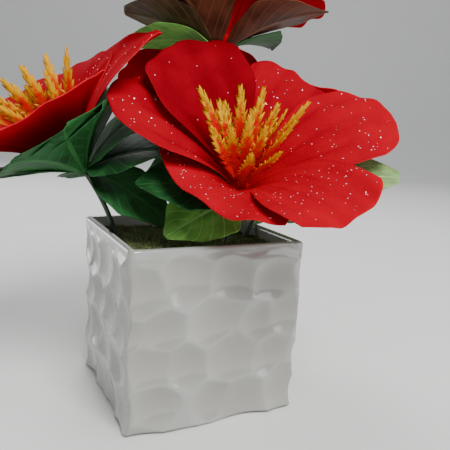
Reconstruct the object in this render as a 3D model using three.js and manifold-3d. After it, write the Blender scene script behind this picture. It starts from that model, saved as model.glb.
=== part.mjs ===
// An artificial hibiscus bush in its pot: five large red velvet blooms, each with a crown of
// toothed plastic stamens and a collar of cloth leaves, on wire stems that are pushed into the
// mossy foam of a square, hammered ceramic planter.
// Millimetres, +Z up. The origin is the middle of the pot's flat underside. The pot's front
// wall faces -Y and its left wall faces -X.
import * as THREE from "three";
import { mergeVertices } from "three/addons/utils/BufferGeometryUtils.js";
import Module from "manifold-3d";

const wasm = await Module();
wasm.setup();

const DEGREE = Math.PI / 180;
const UP = new THREE.Vector3(0, 0, 1);

// Play between pieces that touch on the real thing.
const CLEARANCE = 0.3;

// The planter: a square box with a plain lip, dented walls and a foot set in under its hem.
const POT_WIDTH = 90;
const POT_HEIGHT = 88.6;
const POT_TAPER = 0.6;
const LIP_WALL = 4;
const FLOOR_WALL = 7;
const POT_FLOOR = 6;
const FOOT_WIDTH = 78;
const FOOT_HEIGHT = 5;
const HEM_LOW = 0.3;
const HEM_HIGH = 1.8;
const LIP_HEIGHT = 6;
const DENT_DEPTH = 4;
const DENT_PROUD = 2;
const DENT_COLUMNS = 4;
const DENT_ROWS = 4;
const DENT_SHARPNESS = 12;
const DENT_SCATTER = 0.22;
const DENT_REACH = 0.72;
const WALL_COLUMNS = 12;
const WALL_ROWS = 14;

// The moss-covered foam in the planter.
const MOSS_DROP = 6.4;
const MOSS_LUMP = 1.2;
const MOSS_CELLS = 7;
const MOSS_GAP = 0.4;

// The wire stems, and the play of the holes that they stand in.
const STEM_DEPTH = 30;
const STEM_FOOT_RADIUS = 1.4;
const STEM_TIP_RADIUS = 1.15;
const STEM_SIDES = 6;
const STEM_STEPS = 9;
const STEM_PLAY = 0.5;

// The pieces of one bloom along its own axis, from the stem's tip at 0.
const HUB_RADIUS = 3.4;
const HUB_TOP = 2.6;
const CUP_FOOT = HUB_TOP + CLEARANCE;
const CUP_TOP = 9;
const CUP_RADIUS = 5;
const STAMEN_FOOT = CUP_TOP + CLEARANCE;

// Petals: velvet cloth, pressed into a funnel and arched out.
const PETAL_THICKNESS = 1;
const PETAL_ROOT_OUT = 2.2;
const PETAL_ROOT_UP = 5;
const PETAL_ROOT_SLOPE = 58;
const PETAL_LENGTH = 73;
const PETAL_HALF_WIDTH = 31;
const PETAL_BLUNTNESS = 0.28;
const PETAL_LAP = 2;
const PETAL_RIPPLE = 2.4;
const PETAL_ACROSS = 4;
const PETAL_ALONG = 5;

// Collar leaves: printed cloth, folded along the midrib.
const LEAF_THICKNESS = 0.8;
const LEAF_ROOT_OUT = 2.4;
const LEAF_ROOT_UP = 1.4;
const LEAF_FOLD = 1.6;
const LEAF_LAP = 1.5;
const LEAF_UPRIGHT = 30;
const LEAF_ACROSS = 2;
const LEAF_ALONG = 6;

// Stamens: lances with saw teeth down both edges, standing round a short hub.
const STAMEN_HUB_RADIUS = 2.6;
const STAMEN_HUB_HEIGHT = 6;
const STAMEN_ROOT_UP = 3;
const STAMEN_ROOT_OUT = 1.3;
const STAMEN_LENGTH = 52;
const STAMEN_WIDTH = 8.5;
const STAMEN_THICKNESS = 0.8;
const STAMEN_TEETH = 3;
const STAMEN_COUNT = 7;

// A repeatable number from -1 to 1 for each seed.
function swing(seed) {
  const wave = Math.sin(seed * 12.9898 + 4.1414) * 43758.5453;
  return 2 * (wave - Math.floor(wave)) - 1;
}

// A slope that starts and ends level, from 0 to 1.
function smooth(x) {
  const t = Math.min(1, Math.max(0, x));
  return t * t * (3 - 2 * t);
}

function closedGeometry(points, triangles) {
  const geometry = new THREE.BufferGeometry().setFromPoints(points);
  geometry.setIndex(triangles);
  return geometry;
}

function solidOf(geometry) {
  const bare = geometry.clone();
  bare.deleteAttribute("normal");
  bare.deleteAttribute("uv");
  const merged = mergeVertices(bare, 1e-4);
  const mesh = new wasm.Mesh({
    numProp: 3,
    vertProperties: new Float32Array(merged.attributes.position.array),
    triVerts: new Uint32Array(merged.index.array),
  });
  return new wasm.Manifold(mesh);
}

function meshOf(name, solid, material) {
  const made = solid.getMesh();
  const geometry = new THREE.BufferGeometry();
  geometry.setAttribute("position", new THREE.BufferAttribute(made.vertProperties, 3));
  geometry.setIndex(new THREE.BufferAttribute(made.triVerts, 1));
  geometry.computeVertexNormals();
  const mesh = new THREE.Mesh(geometry, material);
  mesh.name = name;
  return mesh;
}

function joined(solids) {
  return solids.reduce((whole, piece) => whole.add(piece));
}

// A sheet of even thickness. place(u, v) is its middle surface, for u from -1 to 1 across and
// v from 0 to 1 along.
function sheet(place, across, along, thickness) {
  const step = 1e-3;
  const upper = [];
  const lower = [];
  for (let j = 0; j <= along; j++) {
    for (let i = 0; i <= across; i++) {
      const u = -1 + (2 * i) / across;
      const v = j / along;
      const crosswise = place(u + step, v).sub(place(u - step, v));
      const lengthwise = place(u, v + step).sub(place(u, v - step));
      const offset = crosswise.cross(lengthwise).setLength(thickness / 2);
      upper.push(place(u, v).add(offset));
      lower.push(place(u, v).sub(offset));
    }
  }
  const row = across + 1;
  const under = upper.length;
  const triangles = [];
  const quad = (a, b, c, d) => triangles.push(a, b, c, a, c, d);
  for (let j = 0; j < along; j++) {
    for (let i = 0; i < across; i++) {
      const a = j * row + i;
      quad(a, a + 1, a + row + 1, a + row);
      quad(under + a, under + a + row, under + a + row + 1, under + a + 1);
    }
  }
  for (let i = 0; i < across; i++) {
    const far = along * row + i;
    quad(under + i, under + i + 1, i + 1, i);
    quad(far, far + 1, under + far + 1, under + far);
  }
  for (let j = 0; j < along; j++) {
    const left = j * row;
    const right = left + across;
    quad(left, left + row, under + left + row, under + left);
    quad(under + right, under + right + row, right + row, right);
  }
  return solidOf(closedGeometry([...upper, ...lower], triangles));
}

// A round limb along a curve, tapering from its foot to its tip.
function limb(curve, footRadius, tipRadius) {
  const frames = curve.computeFrenetFrames(STEM_STEPS, false);
  const points = [];
  const triangles = [];
  for (let j = 0; j <= STEM_STEPS; j++) {
    const centre = curve.getPointAt(j / STEM_STEPS);
    const radius = footRadius + ((tipRadius - footRadius) * j) / STEM_STEPS;
    for (let i = 0; i < STEM_SIDES; i++) {
      const turn = (2 * Math.PI * i) / STEM_SIDES;
      const point = centre.clone();
      point.addScaledVector(frames.normals[j], radius * Math.cos(turn));
      point.addScaledVector(frames.binormals[j], radius * Math.sin(turn));
      points.push(point);
    }
  }
  for (let j = 0; j < STEM_STEPS; j++) {
    for (let i = 0; i < STEM_SIDES; i++) {
      const a = j * STEM_SIDES + i;
      const b = j * STEM_SIDES + ((i + 1) % STEM_SIDES);
      triangles.push(a, b, b + STEM_SIDES, a, b + STEM_SIDES, a + STEM_SIDES);
    }
  }
  const far = STEM_STEPS * STEM_SIDES;
  for (let i = 1; i < STEM_SIDES - 1; i++) {
    triangles.push(0, i + 1, i, far, far + i, far + i + 1);
  }
  return solidOf(closedGeometry(points, triangles));
}

// How far a point of one wall stands back from the wall's plane. Round dents meet in ridges
// that stand a little proud, and they fade out under the lip.
function dent(side, along, up) {
  const width = POT_WIDTH / DENT_COLUMNS;
  const height = (POT_HEIGHT - LIP_HEIGHT) / DENT_ROWS;
  let near = 0;
  for (let row = -1; row <= DENT_ROWS; row++) {
    for (let column = -1; column <= DENT_COLUMNS; column++) {
      const seed = side * 131 + row * 17 + column * 5;
      const stagger = 0.5 + 0.25 * (-1) ** row;
      const x = (column + stagger + DENT_SCATTER * swing(seed)) * width - POT_WIDTH / 2;
      const z = (row + 0.5 + DENT_SCATTER * swing(seed + 1)) * height;
      const reach = DENT_REACH + 0.1 * swing(seed + 2);
      const distance = Math.hypot((along - x) / width, (up - z) / height) / reach;
      near += Math.exp(-DENT_SHARPNESS * distance * distance);
    }
  }
  const bowl = 1 + Math.log(near) / DENT_SHARPNESS;
  const fade = smooth((POT_HEIGHT - 1 - up) / LIP_HEIGHT);
  return (DENT_DEPTH * Math.max(0, bowl) - DENT_PROUD) * fade;
}

// The height of the wall's uneven lower edge, for a turn round the pot.
function hem(turn) {
  const wave = 0.5 + 0.35 * Math.sin(5 * turn + 0.6) + 0.15 * Math.sin(11 * turn + 2);
  return HEM_LOW + (HEM_HIGH - HEM_LOW) * wave;
}

// A point of the pot's outer wall: share goes from 0 to 1 along one side.
function wallPoint(side, share, z) {
  const half = POT_WIDTH / 2;
  const reach = half - POT_TAPER * (1 - z / POT_HEIGHT);
  const first = dent((side + 3) % 4, half, z) - reach;
  const last = reach - dent((side + 1) % 4, -half, z);
  const along = first + (last - first) * share;
  const out = reach - dent(side, (2 * share - 1) * half, z);
  return new THREE.Vector3(along, -out, z).applyAxisAngle(UP, (side * Math.PI) / 2);
}

// A square block that narrows from its top to its foot.
function taperedBlock(topWidth, footWidth, foot, top, cells, topHeight) {
  const block = new THREE.BoxGeometry(1, 1, 1, cells, cells, 1);
  const place = block.attributes.position;
  for (let i = 0; i < place.count; i++) {
    const isTop = place.getZ(i) > 0;
    const width = isTop ? topWidth : footWidth;
    const x = place.getX(i) * width;
    const y = place.getY(i) * width;
    place.setXYZ(i, x, y, isTop ? top + topHeight(x, y) : foot);
  }
  return solidOf(block);
}

function pot() {
  const ring = 4 * WALL_COLUMNS;
  const points = [];
  const triangles = [];
  for (let j = 0; j <= WALL_ROWS; j++) {
    for (let k = 0; k < ring; k++) {
      const low = hem((2 * Math.PI * k) / ring);
      const z = low + ((POT_HEIGHT - low) * j) / WALL_ROWS;
      points.push(wallPoint(Math.floor(k / WALL_COLUMNS), (k % WALL_COLUMNS) / WALL_COLUMNS, z));
    }
  }
  const underside = points.push(new THREE.Vector3(0, 0, HEM_HIGH)) - 1;
  const topside = points.push(new THREE.Vector3(0, 0, POT_HEIGHT)) - 1;
  for (let k = 0; k < ring; k++) {
    const next = (k + 1) % ring;
    for (let j = 0; j < WALL_ROWS; j++) {
      const a = j * ring + k;
      const b = j * ring + next;
      triangles.push(a, b, b + ring, a, b + ring, a + ring);
    }
    const rim = WALL_ROWS * ring;
    triangles.push(underside, next, k, topside, rim + k, rim + next);
  }
  const foot = new THREE.BoxGeometry(FOOT_WIDTH, FOOT_WIDTH, FOOT_HEIGHT);
  foot.translate(0, 0, FOOT_HEIGHT / 2);
  const mouth = POT_WIDTH - 2 * LIP_WALL;
  const bed = POT_WIDTH - 2 * FLOOR_WALL;
  const cavity = taperedBlock(mouth, bed, POT_FLOOR, POT_HEIGHT + 1, 1, () => 0);
  return solidOf(closedGeometry(points, triangles)).add(solidOf(foot)).subtract(cavity);
}

// Mossy foam with a lumpy top, level with the holes' mouths, and the holes for the stems.
function moss(holes) {
  const top = POT_HEIGHT - MOSS_DROP;
  const topWidth = POT_WIDTH - 2 * LIP_WALL - 2 * MOSS_GAP - 0.6;
  const footWidth = POT_WIDTH - 2 * FLOOR_WALL - 2 * MOSS_GAP;
  const lump = (x, y) => MOSS_LUMP * swing(Math.round(x) * 31 + Math.round(y) * 7);
  const foam = taperedBlock(topWidth, footWidth, POT_FLOOR + CLEARANCE, top, MOSS_CELLS, lump);
  return holes.reduce((whole, hole) => whole.subtract(hole), foam);
}

// How far out an arc has got after a share of its length. Slopes are in degrees above the
// bloom's own base plane.
function reach(length, rootSlope, tipSlope, share) {
  const root = rootSlope * DEGREE;
  const slope = root + (tipSlope - rootSlope) * DEGREE * share;
  const radius = length / ((rootSlope - tipSlope) * DEGREE);
  return radius * (Math.sin(root) - Math.sin(slope));
}

// How high the same arc stands over a point that is a given distance out, as [up, slope].
function rise(length, rootSlope, tipSlope, out) {
  const root = rootSlope * DEGREE;
  const radius = length / ((rootSlope - tipSlope) * DEGREE);
  const slope = Math.asin(Math.sin(root) - out / radius);
  return [radius * (Math.cos(slope) - Math.cos(root)), slope];
}

// A point of a petal in its bloom's frame. The petals lie on one funnel, arched out of the cup.
// Each has one edge over a neighbour and one edge under the other, and its outer edge ripples.
function petalPoint(petal, u, v) {
  const edge = Math.abs(u);
  const end = 1 - PETAL_BLUNTNESS * edge ** 3 + petal.skew * u + 0.02 * Math.sin(7 * u + petal.phase);
  const share = v * (1 + (end - 1) * smooth(1.2 * v - 0.2));
  const { length, tipSlope } = petal;
  const out = reach(length, PETAL_ROOT_SLOPE, tipSlope, share);
  const spread = 0.07 + 0.93 * smooth(1.4 * share);
  const x = PETAL_ROOT_OUT + out;
  const y = petal.halfWidth * spread * u + petal.bend * share * share;
  const far = Math.hypot(x, y) - PETAL_ROOT_OUT;
  const [up, slope] = rise(length, PETAL_ROOT_SLOPE, tipSlope, far);
  const ripple = PETAL_RIPPLE * Math.sin(3.4 * u + petal.phase) * edge * share ** 3;
  const lift = petal.cup * edge * edge * share * share + ripple + PETAL_LAP * u * smooth(5 * share);
  return new THREE.Vector3(
    x - lift * Math.sin(slope),
    y,
    PETAL_ROOT_UP + up + lift * Math.cos(slope),
  ).applyAxisAngle(UP, petal.azimuth * DEGREE);
}

// The bloom's petals, with the small differences of hand work. A bloom may set its own
// azimuths, and changes to single petals.
function petalsOf(bloom) {
  return bloom.petals.map(([azimuth, changes], k) => {
    const seed = bloom.seed * 100 + k * 10;
    return {
      azimuth,
      length: PETAL_LENGTH + 2 * swing(seed + 1),
      halfWidth: PETAL_HALF_WIDTH + 1.5 * swing(seed + 2),
      tipSlope: 4 + 8 * swing(seed + 3),
      cup: 2 + 2 * swing(seed + 4),
      skew: 0.03 * swing(seed + 5),
      bend: 2 * swing(seed + 6),
      phase: Math.PI * swing(seed + 7),
      ...changes,
    };
  });
}

function corolla(bloom) {
  const profile = [
    new THREE.Vector2(0, CUP_FOOT),
    new THREE.Vector2(0.6 * CUP_RADIUS, CUP_FOOT),
    new THREE.Vector2(CUP_RADIUS, CUP_TOP - 1),
    new THREE.Vector2(CUP_RADIUS - 1, CUP_TOP),
    new THREE.Vector2(0, CUP_TOP),
  ];
  const cup = new THREE.LatheGeometry(profile, 10).rotateX(Math.PI / 2);
  const petals = petalsOf(bloom).map((petal) =>
    sheet((u, v) => petalPoint(petal, u, v), PETAL_ACROSS, PETAL_ALONG, PETAL_THICKNESS),
  );
  return joined([solidOf(cup), ...petals]);
}

// A point of a leaf in its bloom's frame: ovate, ending in a point. Leaves that stand up
// against the petals are cupped with them, and lap over one another.
function leafPoint(leaf, u, v) {
  const { length, rootSlope, tipSlope } = leaf;
  const out = reach(length, rootSlope, tipSlope, v);
  const oval = Math.max(0.07, Math.sin(Math.PI * (0.97 * Math.abs(v)) ** 0.85)) ** 0.9;
  const sideways = leaf.halfWidth * oval * u + leaf.bend * v * v;
  const upright = rootSlope > LEAF_UPRIGHT;
  const far = upright ? Math.hypot(LEAF_ROOT_OUT + out, sideways) - LEAF_ROOT_OUT : out;
  const [up, slope] = rise(length, rootSlope, tipSlope, far);
  const lift = LEAF_FOLD * Math.abs(u) * oval + LEAF_LAP * u * smooth(4 * v);
  return new THREE.Vector3(
    LEAF_ROOT_OUT + out - lift * Math.sin(slope),
    sideways,
    LEAF_ROOT_UP + up + lift * Math.cos(slope),
  ).applyAxisAngle(UP, leaf.azimuth * DEGREE);
}

function collar(bloom) {
  const hub = new THREE.CylinderGeometry(HUB_RADIUS, HUB_RADIUS - 0.8, HUB_TOP, 10);
  hub.rotateX(Math.PI / 2).translate(0, 0, HUB_TOP / 2);
  const leaves = bloom.leaves.map(([azimuth, length, rootSlope, tipSlope, changes], k) => {
    const bend = 3 * swing(bloom.seed * 100 + 70 + k);
    const leaf = { azimuth, length, rootSlope, tipSlope, bend, halfWidth: 0.4 * length, ...changes };
    return sheet((u, v) => leafPoint(leaf, u, v), LEAF_ACROSS, LEAF_ALONG, LEAF_THICKNESS);
  });
  return joined([solidOf(hub), ...leaves]);
}

// One stamen lying in the XY plane, its root at 0 and its tip up +Y.
function stamenBlade() {
  const halfWidth = (s) => (0.3 + 0.7 * Math.sin(Math.PI * s ** 0.8)) * (STAMEN_WIDTH / 2);
  const right = [];
  for (let k = 0; k < STAMEN_TEETH; k++) {
    const valley = 0.22 + (0.72 * k) / STAMEN_TEETH;
    const point = valley + 0.6 / STAMEN_TEETH;
    right.push(new THREE.Vector2(0.6 * halfWidth(valley), valley * STAMEN_LENGTH));
    right.push(new THREE.Vector2(halfWidth(point), point * STAMEN_LENGTH));
  }
  const left = right.map((point) => new THREE.Vector2(-point.x, point.y)).reverse();
  const root = 0.15 * STAMEN_WIDTH;
  const shape = new THREE.Shape([
    new THREE.Vector2(-root, 0),
    new THREE.Vector2(root, 0),
    ...right,
    new THREE.Vector2(0, STAMEN_LENGTH),
    ...left,
  ]);
  const blade = new THREE.ExtrudeGeometry(shape, { depth: STAMEN_THICKNESS, bevelEnabled: false });
  return blade.translate(0, 0, -STAMEN_THICKNESS / 2);
}

function stamens(bloom) {
  const hub = new THREE.CylinderGeometry(STAMEN_HUB_RADIUS, STAMEN_HUB_RADIUS, STAMEN_HUB_HEIGHT, 10);
  hub.rotateX(Math.PI / 2).translate(0, 0, STAMEN_FOOT + STAMEN_HUB_HEIGHT / 2);
  const blades = [];
  for (let k = 0; k < STAMEN_COUNT; k++) {
    const seed = bloom.seed * 100 + 40 + k * 3;
    const lean = (k % 2 === 0 ? 20 : 36) + 5 * swing(seed);
    const turn = (360 / STAMEN_COUNT) * k + 9 * swing(seed + 1);
    const tall = 0.9 + 0.1 * swing(seed + 2);
    const place = new THREE.Matrix4()
      .makeRotationZ((turn - 90) * DEGREE)
      .multiply(new THREE.Matrix4().makeTranslation(0, STAMEN_ROOT_OUT, STAMEN_FOOT + STAMEN_ROOT_UP))
      .multiply(new THREE.Matrix4().makeRotationX((90 - lean) * DEGREE))
      .multiply(new THREE.Matrix4().makeScale(1, tall, 1));
    blades.push(solidOf(stamenBlade().applyMatrix4(place)));
  }
  return joined([solidOf(hub), ...blades]);
}

// Six petals, evenly spread from a first azimuth.
function evenPetals(first) {
  return [0, 60, 120, 180, 240, 300].map((turn) => [first + turn, {}]);
}

// Each bloom: its apex, which way and how far it leans, where its stem enters the moss, its
// petals by azimuth, and its leaves by azimuth, length, slope at the root and slope at the tip.
const BLOOMS = [
  {
    name: "front",
    seed: 3,
    apex: [20.5, -17.5, 107],
    lean: 38,
    heading: -111,
    root: [9, -18],
    petals: [
      [145, { length: 79, halfWidth: 24, tipSlope: 8, cup: 3, skew: -0.05 }],
      [97, { length: 80, halfWidth: 27, tipSlope: 13, skew: 0 }],
      [47, { length: 72, halfWidth: 29, tipSlope: 7, cup: 4 }],
      [-5, { length: 83, halfWidth: 25, tipSlope: 0, skew: 0 }],
      [-69, { length: 80, halfWidth: 26, tipSlope: 5, skew: 0 }],
      [-149, { length: 52, halfWidth: 37, tipSlope: 10, cup: 4, skew: 0.08, bend: 4 }],
    ],
    leaves: [
      [-163, 43, 8, -20, { halfWidth: 20 }],
      [-32, 70, 34, 8, {}],
      [170, 54, 34, 4, {}],
      [28, 54, 34, 4, {}],
    ],
  },
  {
    name: "left",
    seed: 4,
    apex: [-52, 12, 116.7],
    lean: 34,
    heading: 184,
    root: [-34, 8],
    petals: [
      [4, { length: 67, halfWidth: 27, tipSlope: 3 }],
      [58, { tipSlope: 4 }],
      [110, { tipSlope: 6 }],
      [170, { tipSlope: 12 }],
      [234, { halfWidth: 32, tipSlope: 6 }],
      [286, { halfWidth: 31, tipSlope: 2 }],
    ],
    leaves: [
      [-129, 54, 46, 14, { halfWidth: 21 }],
      [-91, 56, 42, 17, { halfWidth: 23 }],
      [-170, 50, 44, 14, {}],
      [-40, 50, -60, -76, { halfWidth: 22 }],
      [90, 50, 40, 10, {}],
      [145, 50, 34, 6, {}],
      [72, 44, -8, -40, {}],
      [-21, 54, 28, -8, { halfWidth: 24 }],
    ],
  },
  {
    name: "top",
    seed: 8,
    apex: [17, 6, 181],
    lean: 14,
    heading: 60,
    root: [2, 11],
    petals: evenPetals(20),
    leaves: [
      [-34, 55, 38, 2, {}],
      [-122, 58, 42, 6, { halfWidth: 25 }],
      [165, 56, 34, 8, {}],
      [100, 56, 36, 8, {}],
      [32, 54, 36, 8, {}],
      [122, 48, -12, -50, {}],
    ],
  },
  {
    name: "back",
    seed: 6,
    apex: [31.5, 64, 121],
    lean: 31,
    heading: 67.5,
    root: [-4, 30],
    petals: evenPetals(20),
    leaves: [
      [40, 52, 34, 6, {}],
      [100, 54, 34, 6, {}],
      [160, 52, 30, -2, {}],
      [205, 50, 34, 6, {}],
      [70, 50, 4, -30, {}],
      [135, 46, -24, -56, {}],
    ],
  },
  {
    name: "right",
    seed: 7,
    apex: [46.8, 8, 99.8],
    lean: 47.7,
    heading: 60.2,
    root: [27, 3],
    petals: [
      [-12, {}],
      [45, {}],
      [98, { halfWidth: 21, bend: 0 }],
      [167, { halfWidth: 22, bend: 0 }],
      [223, {}],
      [284, {}],
    ],
    leaves: [
      [20, 54, 34, 6, {}],
      [86, 54, 34, 6, {}],
      [168, 50, 34, 6, {}],
      [305, 50, 34, 6, {}],
      [345, 48, 16, -10, {}],
    ],
  },
];

// The turn and shift from a bloom's own frame to the pot's.
function standing(bloom) {
  const heading = bloom.heading * DEGREE;
  const hinge = new THREE.Vector3(-Math.sin(heading), Math.cos(heading), 0);
  const lean = new THREE.Matrix4().makeRotationAxis(hinge, bloom.lean * DEGREE);
  return new THREE.Matrix4().makeTranslation(...bloom.apex).multiply(lean);
}

// A stem's middle line: upright in the foam, then bending over into its bloom's axis.
function stemCurve(bloom, footDrop) {
  const axis = UP.clone().transformDirection(standing(bloom));
  const tip = new THREE.Vector3(...bloom.apex).addScaledVector(axis, -CLEARANCE);
  const foot = new THREE.Vector3(...bloom.root, POT_HEIGHT - MOSS_DROP - STEM_DEPTH);
  const third = tip.distanceTo(foot) / 3;
  return new THREE.CubicBezierCurve3(
    foot.clone().setZ(foot.z - footDrop),
    foot.clone().setZ(foot.z + 1.5 * third),
    tip.clone().addScaledVector(axis, -third),
    tip,
  );
}

const finish = (color, roughness) => new THREE.MeshStandardMaterial({ color, roughness, metalness: 0 });
const CERAMIC = finish(0xe2e2de, 0.25);
const MOSS = finish(0x3b3518, 1);
const WIRE = finish(0x12301c, 0.5);
const VELVET = finish(0xd00818, 0.9);
const LEAF = finish(0x2c6a2a, 0.6);
const STAMEN = finish(0xf0b010, 0.5);

const plant = new THREE.Group();
plant.add(meshOf("pot", pot(), CERAMIC));
const holes = [];
for (const bloom of BLOOMS) {
  const stem = limb(stemCurve(bloom, 0), STEM_FOOT_RADIUS, STEM_TIP_RADIUS);
  const hole = stemCurve(bloom, CLEARANCE);
  holes.push(limb(hole, STEM_FOOT_RADIUS + STEM_PLAY, STEM_TIP_RADIUS + STEM_PLAY));
  const head = new THREE.Group();
  head.applyMatrix4(standing(bloom));
  head.add(meshOf(`leaves_${bloom.name}`, collar(bloom), LEAF));
  head.add(meshOf(`petals_${bloom.name}`, corolla(bloom), VELVET));
  head.add(meshOf(`stamens_${bloom.name}`, stamens(bloom), STAMEN));
  plant.add(meshOf(`stem_${bloom.name}`, stem, WIRE), head);
}
plant.add(meshOf("moss", moss(holes), MOSS));

export default plant;
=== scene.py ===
import math

import bpy
import numpy as np
from mathutils import Matrix, Vector, noise


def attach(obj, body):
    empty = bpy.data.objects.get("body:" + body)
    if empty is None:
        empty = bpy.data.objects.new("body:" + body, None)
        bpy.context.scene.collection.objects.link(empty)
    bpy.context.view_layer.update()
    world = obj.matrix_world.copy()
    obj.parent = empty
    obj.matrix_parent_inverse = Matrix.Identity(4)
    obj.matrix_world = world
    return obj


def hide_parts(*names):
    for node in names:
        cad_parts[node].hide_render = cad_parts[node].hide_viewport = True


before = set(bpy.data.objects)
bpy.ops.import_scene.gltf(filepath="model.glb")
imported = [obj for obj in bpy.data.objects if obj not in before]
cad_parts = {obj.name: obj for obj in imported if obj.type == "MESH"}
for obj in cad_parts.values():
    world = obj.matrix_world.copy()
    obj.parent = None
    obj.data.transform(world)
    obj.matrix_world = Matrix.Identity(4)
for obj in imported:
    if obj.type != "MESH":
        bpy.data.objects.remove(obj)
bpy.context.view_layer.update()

# The planter is a square slip-cast box in white glazed ceramic. Its walls were pressed into
# round dents that meet in ridges. The lip is plain, and a foot is set in under the wavy hem.
MM = 0.001
POT_WIDTH = 90
POT_HEIGHT = 88.6
POT_TAPER = 0.6
LIP_WALL = 4
FLOOR_WALL = 7
POT_FLOOR = 6
FOOT_WIDTH = 78
HEM_LOW = 0.3
HEM_HIGH = 1.8
LIP_HEIGHT = 6
LIP_ROUNDING = 1.5
CORNER_ROUNDING = 3.2
DENT_DEPTH = 4
DENT_PROUD = 2
DENT_COLUMNS = 4
DENT_ROWS = 4
DENT_SHARPNESS = 30
DENT_SCATTER = 0.22
DENT_REACH = 0.72
WALL_COLUMNS = 76
WALL_ROWS = 96
LIP_STEPS = 6
GLAZE = (0.33, 0.33, 0.305, 1)
# The darker glaze colour is painted shade for the hollows of the dents, with a little tint of pooled
# glaze.
GLAZE_DENT_SHADE = (0.285, 0.28, 0.25, 1)


def swing(seed):
    """A repeatable number from -1 to 1 for each seed."""
    wave = math.sin(seed * 12.9898 + 4.1414) * 43758.5453
    return 2 * (wave - math.floor(wave)) - 1


def smooth(x):
    """A slope that starts and ends level, from 0 to 1."""
    t = np.clip(x, 0, 1)
    return t * t * (3 - 2 * t)


def dent(side, along, up):
    """How far a wall stands back from its plane, and how deep in a dent that is, from 0 to 1."""
    width = POT_WIDTH / DENT_COLUMNS
    height = (POT_HEIGHT - LIP_HEIGHT) / DENT_ROWS
    near = 0
    for row in range(-1, DENT_ROWS + 1):
        for column in range(-1, DENT_COLUMNS + 1):
            seed = side * 131 + row * 17 + column * 5
            stagger = 0.5 + 0.25 * (-1) ** row
            x = (column + stagger + DENT_SCATTER * swing(seed)) * width - POT_WIDTH / 2
            z = (row + 0.5 + DENT_SCATTER * swing(seed + 1)) * height
            reach = DENT_REACH + 0.1 * swing(seed + 2)
            distance = np.hypot((along - x) / width, (up - z) / height) / reach
            near = near + np.exp(-DENT_SHARPNESS * distance * distance)
    bowl = np.maximum(0, 1 + np.log(near) / DENT_SHARPNESS)
    fade = smooth((POT_HEIGHT - 1 - up) / LIP_HEIGHT)
    return (DENT_DEPTH * bowl - DENT_PROUD) * fade, bowl * fade


def hem(turn):
    """The height of the wall's uneven lower edge, for a turn round the pot."""
    wave = 0.5 + 0.35 * np.sin(5 * turn + 0.6) + 0.15 * np.sin(11 * turn + 2)
    return HEM_LOW + (HEM_HIGH - HEM_LOW) * wave


def turned(x, y, z, azimuth):
    """Points turned about +Z by an azimuth in degrees."""
    turn = math.radians(azimuth)
    ahead = x * math.cos(turn) - y * math.sin(turn)
    beside = x * math.sin(turn) + y * math.cos(turn)
    return np.stack([ahead, beside, z], -1)


def wall_ring(share, inset, drop):
    """One ring of the outer wall, from the hem at share 0 to the top at share 1."""
    half = POT_WIDTH / 2
    rings = []
    for side in range(4):
        s = np.arange(WALL_COLUMNS) / WALL_COLUMNS
        low = hem(2 * math.pi * (side + s) / 4)
        z = low + (POT_HEIGHT - low) * share
        reach = half - POT_TAPER * (1 - z / POT_HEIGHT)
        first = dent((side + 3) % 4, half, z)[0] - reach
        last = reach - dent((side + 1) % 4, -half, z)[0]
        x = first + (last - first) * s
        back, depth = dent(side, (2 * s - 1) * half, z)
        rings.append(np.column_stack([turned(x, back - reach, z, 90 * side), depth]))
    ring = np.concatenate(rings)
    flat = ring[:, :2] * (1 - inset / half)
    inner = half - inset - CORNER_ROUNDING
    over = np.maximum(np.abs(flat) - inner, 0)
    length = np.hypot(over[:, 0], over[:, 1])
    corner = (over.min(1) > 0) & (length > CORNER_ROUNDING)
    pull = np.where(corner, CORNER_ROUNDING / np.maximum(length, 1e-9), 1)
    rounded = np.sign(flat) * (inner + over * pull[:, None])
    ring[:, :2] = np.where(corner[:, None], rounded, flat)
    ring[:, 2] -= drop
    return ring


def square_ring(width, z):
    """A plain square ring with the wall's number of points."""
    half = width / 2
    s = np.arange(WALL_COLUMNS) / WALL_COLUMNS
    rings = []
    for side in range(4):
        x = (2 * s - 1) * half
        rings.append(turned(x, np.full_like(x, -half), np.full_like(x, z), 90 * side))
    ring = np.concatenate(rings)
    return np.column_stack([ring, np.zeros(len(ring))])


def mesh_object(name, vertices, faces, materials, indices=None, floats=None, matrix=None):
    """A smooth-shaded mesh from millimetres, with a material for each face and float layers."""
    vertices = np.asarray(vertices, float)
    if matrix is not None:
        vertices = vertices @ matrix[:3, :3].T + matrix[:3, 3]
    mesh = bpy.data.meshes.new(name)
    mesh.from_pydata((vertices * MM).tolist(), [], [list(face) for face in faces])
    for material in materials:
        mesh.materials.append(material)
    if indices is not None:
        mesh.polygons.foreach_set("material_index", np.asarray(indices, np.int32))
    mesh.polygons.foreach_set("use_smooth", np.ones(len(mesh.polygons), bool))
    for layer, values in (floats or {}).items():
        attribute = mesh.attributes.new(layer, "FLOAT", "POINT")
        attribute.data.foreach_set("value", np.asarray(values, np.float32))
    mesh.update()
    made = bpy.data.objects.new(name, mesh)
    bpy.context.scene.collection.objects.link(made)
    return made


def lofted(rings):
    """Vertices and faces of a closed skin through rings of equal size, with both ends closed."""
    count = len(rings[0])
    faces = []
    for j in range(len(rings) - 1):
        for k in range(count):
            n = (k + 1) % count
            faces.append((j * count + k, j * count + n, (j + 1) * count + n, (j + 1) * count + k))
    vertices = np.concatenate(rings)
    first, last = len(vertices), len(vertices) + 1
    ends = np.array([rings[0].mean(0), rings[-1].mean(0)])
    top = (len(rings) - 1) * count
    for k in range(count):
        n = (k + 1) % count
        faces.append((first, n, k))
        faces.append((last, top + k, top + n))
    return np.concatenate([vertices, ends]), faces


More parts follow.
